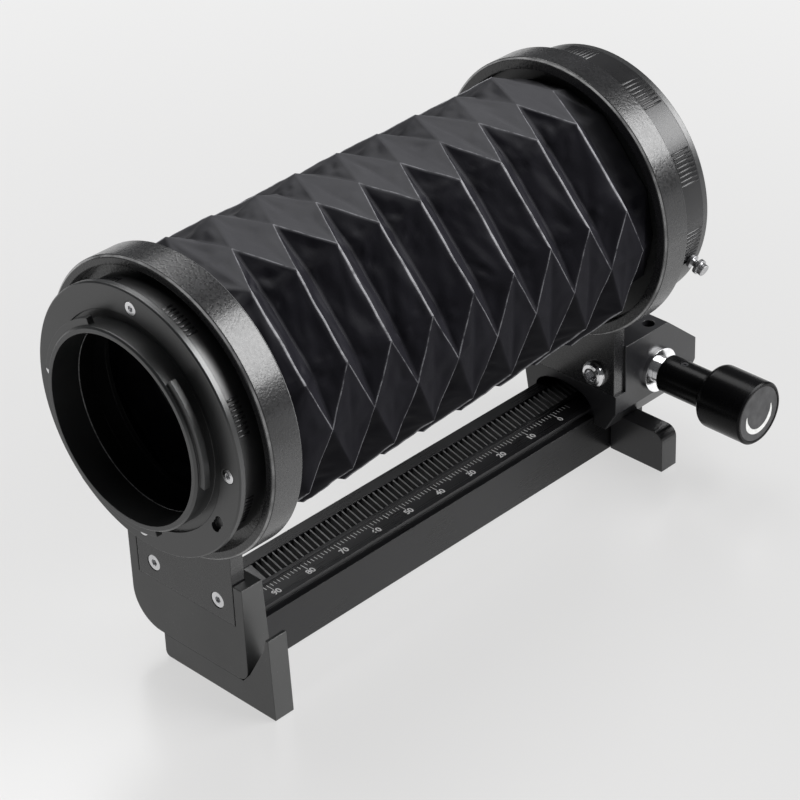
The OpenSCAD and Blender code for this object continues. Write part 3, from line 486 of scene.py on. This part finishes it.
def fold_points():
    """Corners of the folds as radius, angle and Y, each a little off its true place."""
    rng = random.Random(11)
    points = {}
    for k in range(HALF_FOLDS + 1):
        for j in range(COLUMNS):
            r, angle, y = fold_radius(k, j), fold_angle(j), BELLOWS_Y0 + HALF_FOLD * k
            if k not in (0, HALF_FOLDS):
                r += rng.uniform(*(R_OFF if fold_outer(k, j) or is_corner(j) else VALLEY_R_OFF))
                angle += rng.uniform(*ANGLE_OFF)
                y += rng.uniform(*Y_OFF)
            points[k, j] = (r, angle, y)
    return points


def crease_kind(a, b, shell):
    """What the fold between two points is to the look, or None for one that doesn't show.

    A crest runs along a flat side, and a dart from a crest's end to a corner. The darts are
    uneven: a corner shows all of them on one side and none or half of them on the other.
    """
    if a[0] in (0, HALF_FOLDS) or b[0] in (0, HALF_FOLDS):
        return None
    outer = [fold_outer(k, j % COLUMNS) for k, j in (a, b)]
    if shell:                           # inside, the valleys stand out
        return None if any(outer) else ("crest" if a[0] == b[0] else "dart")
    if not all(outer):
        return None
    if a[0] == b[0]:
        return "crest"
    corner, end = (a, b) if is_corner(a[1]) else (b, a)
    before = end[1] % COLUMNS == corner[1] % COLUMNS - 1
    if (corner[1] % COLUMNS) // 3 in (0, 2):        # the corner on top and the one below
        return "dart" if before else None
    return "dart" if not before or end[0] < corner[0] else None


def outward(p):
    """The direction from the optical axis to a point."""
    return Vector((p.x, 0.0, p.z - AXIS_Z)).normalized()


def drape(p, normal, edge_gap, size, pinch):
    """Soft hollows and small pinches of the cloth; nothing moves across a crease."""
    rise = noise.noise(p * BROAD[0]) * BROAD[1] + noise.noise(p * SMALL[0]) * SMALL[1]
    rise += (noise.noise(p * PINCH[0] + PINCH_SHIFT) * PINCH[1]
             * math.exp(-(pinch / PINCH_REACH) ** 2))
    return p + normal * rise * min(1.0, edge_gap / CALM_EDGE) * min(1.0, size / CALM_SIZE)


def bellows():
    """The folded tube of cloth, as an outer and an inner skin with closed rims."""
    base = fold_points()
    bm = bmesh.new()
    layers = {kind: bm.verts.layers.float.new(kind) for kind in ("crest", "dart", "knot")}
    seen = {}

    def point(k, j):
        r, angle, y = base[k, j % COLUMNS]
        return on_axis(r, angle, y)

    valley_ends = [point(k, j) for k in range(1, HALF_FOLDS) for j in range(COLUMNS)
                   if not is_corner(j) and not fold_outer(k, j)]

    def add(p, place, gaps):
        """A vertex, shared by the facets that meet there."""
        v = seen.get(place)
        if v is None:
            v = bm.verts.new(p)
            seen[place] = v
            for kind in layers:
                v[layers[kind]] = FAR
        for kind, gap in gaps.items():
            v[layers[kind]] = min(v[layers[kind]], gap)
        return v

    def triangle(ids, shell):
        """One facet of the folds, as a grid of small draped faces."""
        pts = [point(k, j) for k, j in ids]
        area2 = (pts[1] - pts[0]).cross(pts[2] - pts[0])
        normal = area2.normalized()
        sides = [(pts[(i + 2) % 3] - pts[(i + 1) % 3]).length for i in range(3)]
        heights = [area2.length / side for side in sides]
        kinds = [crease_kind(ids[(i + 1) % 3], ids[(i + 2) % 3], shell) for i in range(3)]
        grid = {}
        for a in range(STEPS + 1):
            for b in range(STEPS + 1 - a):
                w = (a / STEPS, b / STEPS, (STEPS - a - b) / STEPS)
                flat = pts[0] * w[0] + pts[1] * w[1] + pts[2] * w[2]
                away = [w[i] * heights[i] for i in range(3)]
                pinch = min(((flat - q).length for q in valley_ends
                             if abs(flat.y - q.y) < PINCH_SEARCH), default=NO_PINCH)
                p = drape(flat, normal, min(away), max(heights), pinch)
                p = p + outward(p) * noise.noise(flat * WAVE[0]) * WAVE[1]
                if shell:
                    p = p - outward(p) * CLOTH_T
                gaps = {"knot": min(FAR, pinch)}
                for kind, gap in zip(kinds, away):
                    if kind:
                        gaps[kind] = min(gaps.get(kind, FAR), gap)
                place = (shell, round(flat.x, 3), round(flat.y, 3), round(flat.z, 3))
                grid[a, b] = add(p, place, gaps)
        for a in range(STEPS):
            for b in range(STEPS - a):
                faces = [(grid[a, b], grid[a + 1, b], grid[a, b + 1])]
                if b < STEPS - a - 1:
                    faces.append((grid[a + 1, b], grid[a + 1, b + 1], grid[a, b + 1]))
                for face in faces:
                    if len(set(face)) == 3:
                        bm.faces.new(face)

    for shell in (0, 1):
        for k in range(HALF_FOLDS):
            for j in range(COLUMNS):
                a, b, c, d = (k, j), (k, (j + 1) % COLUMNS), (k + 1, (j + 1) % COLUMNS), (k + 1, j)
                if j % 3 == 0:
                    ra, rb, rc, rd = (base[q][0] for q in (a, b, c, d))
                    split = ra + rc >= rb + rd
                else:                   # beside a corner the crease runs from crest to corner
                    split = fold_outer(*a) and fold_outer(*c)
                for ids in ((a, b, c), (a, c, d)) if split else ((a, b, d), (b, c, d)):
                    triangle(ids, shell)
    for y in (BELLOWS_Y0, BELLOWS_Y1):  # close both rims between the skins
        edges = [e for e in bm.edges
                 if e.is_boundary and all(abs(v.co.y - y) < RIM_REACH for v in e.verts)]
        bmesh.ops.bridge_loops(bm, edges=edges)
    obj = piece("bellows_cloth", bm, "cloth", "base")
    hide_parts("bellows")
    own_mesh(obj)


bellows()

# ---------------------------------------------------------------- release spring

SPRING_X, SPRING_Z = 24.714, 57.305
SPRING_Y0, SPRING_Y1 = 60.02, 63.38     # ends of the coil at rest
SPRING_R, WIRE_R = 0.7, 0.14
SPRING_TURNS, TURN_STEPS, WIRE_SIDES = 4, 20, 8


def release_spring():
    """The coil behind the release pin, as it is at rest; the real one is pressed shorter as the
    pin is pulled.
    """
    bm = bmesh.new()
    rise = SPRING_Y1 - SPRING_Y0 - 2 * WIRE_R
    count = SPRING_TURNS * TURN_STEPS
    rings = []
    for i in range(count + 1):
        a = 2 * math.pi * i / TURN_STEPS
        y = SPRING_Y0 + WIRE_R + rise * i / count
        ring = []
        for q in range(WIRE_SIDES):
            s = 2 * math.pi * q / WIRE_SIDES
            r = SPRING_R + WIRE_R * math.cos(s)
            ring.append(bm.verts.new((SPRING_X + r * math.cos(a), y + WIRE_R * math.sin(s),
                                      SPRING_Z + r * math.sin(a))))
        rings.append(ring)
    for a, b in zip(rings, rings[1:]):
        for q in range(WIRE_SIDES):
            t = (q + 1) % WIRE_SIDES
            bm.faces.new((a[q], a[t], b[t], b[q]))
    bm.faces.new(rings[0])
    bm.faces.new(rings[-1])
    obj = piece("release_coil", bm, "steel", "carriage")
    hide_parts("release_spring")
    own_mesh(obj)


release_spring()

# ---------------------------------------------------------------- knurls

RIDGE_H, RIDGE_W = 0.32, 0.62
RIDGE_END = 0.35                        # length of the slope at each end of a ridge
RIDGE_SUNK = 0.05                       # how far a ridge's foot lies in the ring
RIDGE_ACROSS = (-1.0, -0.6, 0.0, 0.6, 1.0)
RIDGES = 8                              # in each group


def ridge_profile(t):
    """Height across a ridge: a rounded top and steep sides."""
    return math.cos(t * math.pi / 2) ** 0.7 if abs(t) < 1 else 0.0


def knurl(name, body, radius, y0, y1, centres, pitch):
    """Groups of raised ridges along the axis on a ring's rim."""
    bm = bmesh.new()
    half = math.degrees(RIDGE_W / 2 / radius)
    for centre in centres:
        for i in range(RIDGES):
            angle = centre + (i - (RIDGES - 1) / 2) * pitch
            rows = []
            for y, lift in ((y0, 0.0), (y0 + RIDGE_END, 1.0), (y1 - RIDGE_END, 1.0), (y1, 0.0)):
                rows.append([bm.verts.new(on_axis(
                    radius - RIDGE_SUNK + RIDGE_H * lift * ridge_profile(t), angle + t * half, y))
                    for t in RIDGE_ACROSS])
            for a, b in zip(rows, rows[1:]):
                for q in range(len(RIDGE_ACROSS) - 1):
                    bm.faces.new((a[q], a[q + 1], b[q + 1], b[q]))
    piece(name, bm, "turned", body)


knurl("camera_knurl", "base", 28.4, -69.4, -65.8, [21.5 + 45 * i for i in range(8)], 2.15)
knurl("lens_knurl", "carriage", 30.4, 60.3, 66.3, [24 + 36 * i for i in range(10)], 2.0)

# ---------------------------------------------------------------- scale

STRIP_Z = 12.6                          # floor of the rail's sunk strip
FILL_H = 0.015                          # the paint above it
SCALE_Y = -42.87                        # the line of the number 90
SCALE_X = 2.55                          # where the lines begin
NUMBER_X = 5.75                         # middle of the numbers
NUMBER_SIZE, NUMBER_BOLD = 2.2, 0.05
LINE_W = 0.16


def line_length(i):
    if i % 10 == 0:
        return 2.3
    return 1.7 if i % 5 == 0 else 1.15


def scale_marks():
    """Millimetre lines and a number every ten, engraved and filled, in the rail's sunk strip."""
    bm = bmesh.new()
    z = STRIP_Z + FILL_H
    for i in range(-3, 96):
        y, end = SCALE_Y + i, SCALE_X + line_length(i)
        bm.faces.new([bm.verts.new(p) for p in (
            (SCALE_X, y - LINE_W / 2, z), (end, y - LINE_W / 2, z),
            (end, y + LINE_W / 2, z), (SCALE_X, y + LINE_W / 2, z))])
    for k in range(10):
        curve = bpy.data.curves.new("number", "FONT")
        curve.body = str(90 - 10 * k)
        curve.size = NUMBER_SIZE
        curve.offset = NUMBER_BOLD
        curve.align_x = curve.align_y = "CENTER"
        obj = bpy.data.objects.new("number", curve)
        SCENE.collection.objects.link(obj)
        bpy.context.view_layer.update()
        mesh = bpy.data.meshes.new_from_object(obj)
        mesh.transform(Matrix.Translation((NUMBER_X, SCALE_Y + 10 * k, z))
                       @ Matrix.Rotation(math.radians(90), 4, "Z"))
        bm.from_mesh(mesh)
        bpy.data.objects.remove(obj)
    piece("scale_marks", bm, "scale", "base", smooth=False)


scale_marks()

# ---------------------------------------------------------------- knob's arc

KNOB_Y, KNOB_Z = 69.4, 20.097
ARC_X = 45.53                           # just above the cap's face
ARC_R0, ARC_R1 = 3.75, 4.95
ARC_FROM, ARC_TO, ARC_STEPS = 168.0, 372.0, 40
ARC_TIP = 0.15                          # width of the arc's ends, as a share


def knob_arc():
    """A plain open arc, painted on the knob's cap."""
    bm = bmesh.new()

    def at(r, angle):
        a = math.radians(angle)
        return bm.verts.new((ARC_X, KNOB_Y + r * math.cos(a), KNOB_Z + r * math.sin(a)))

    n = ARC_STEPS
    mid = (ARC_R0 + ARC_R1) / 2
    rows = []
    for i in range(n + 1):
        angle = ARC_FROM + (ARC_TO - ARC_FROM) * i / n
        taper = min(1.0, 5.0 * i / n, 5.0 * (n - i) / n) * (1.0 - ARC_TIP) + ARC_TIP
        half = (ARC_R1 - ARC_R0) / 2 * taper
        rows.append((at(mid - half, angle), at(mid + half, angle)))
    for p, q in zip(rows, rows[1:]):
        bm.faces.new((p[0], p[1], q[1], q[0]))
    piece("knob_arc", bm, "white", "drive", smooth=False)


knob_arc()

# ---------------------------------------------------------------- stage, in metres

FLOOR_HALF, FLOOR_Z = 3.0, -0.0002
GLOW_FROM, GLOW_TO = 0.12, 0.50         # the floor glows more from here to there; the lower glow near the unit is painted shade
AIM = Vector((0, 0, 0.05))              # what the lights face


def white_floor():
    """A pale glossy table that glows, its glow painted lower near the unit as painted shade and
    rising to white away from it.
    """
    s, z = FLOOR_HALF, FLOOR_Z
    mesh = bpy.data.meshes.new("floor")
    mesh.from_pydata([(-s, -s, z), (s, -s, z), (s, s, z), (-s, s, z)], [], [(0, 1, 2, 3)])
    floor = bpy.data.objects.new("floor", mesh)
    SCENE.collection.objects.link(floor)
    g = Graph("floor_white")
    co = g.coords()
    away = g.node("ShaderNodeVectorMath", {0: co}, "Value", operation="LENGTH")
    # painted shade: the glow is lower near the unit
    glow = g.mix(g.span(away, GLOW_FROM, GLOW_TO), (0.60, 0.598, 0.596), (0.78, 0.779, 0.778))
    colour = g.mix(g.noise(co, 3.0, 2), (0.10, 0.10, 0.10), (0.11, 0.11, 0.11))
    mesh.materials.append(g.finish(colour, 0.30, Emission_Color=glow, Emission_Strength=1.0))


def softbox(name, toward, distance, size, radiance):
    """A light that faces the unit; its power follows from the brightness of its face."""
    data = bpy.data.lights.new(name, "AREA")
    data.shape = "RECTANGLE"
    data.size, data.size_y = size
    data.energy = radiance * math.pi * size[0] * size[1]
    obj = bpy.data.objects.new(name, data)
    SCENE.collection.objects.link(obj)
    obj.location = Vector(toward).normalized() * distance + AIM
    obj.rotation_euler = (AIM - obj.location).to_track_quat("-Z", "Y").to_euler()


def stage():
    white_floor()
    world = bpy.data.worlds.new("studio")
    world.use_nodes = True
    background = world.node_tree.nodes["Background"]
    background.inputs["Color"].default_value = (0.95, 0.97, 1.0, 1.0)
    background.inputs["Strength"].default_value = 0.10
    SCENE.world = world
    softbox("key_softbox", (0.57, 0.51, 0.62), 1.0, (0.70, 0.72), 10.5)
    softbox("top_softbox", (-0.50, 0.10, 0.86), 1.1, (0.9, 0.9), 4.5)


stage()
SCENE.view_settings.view_transform = "Standard"
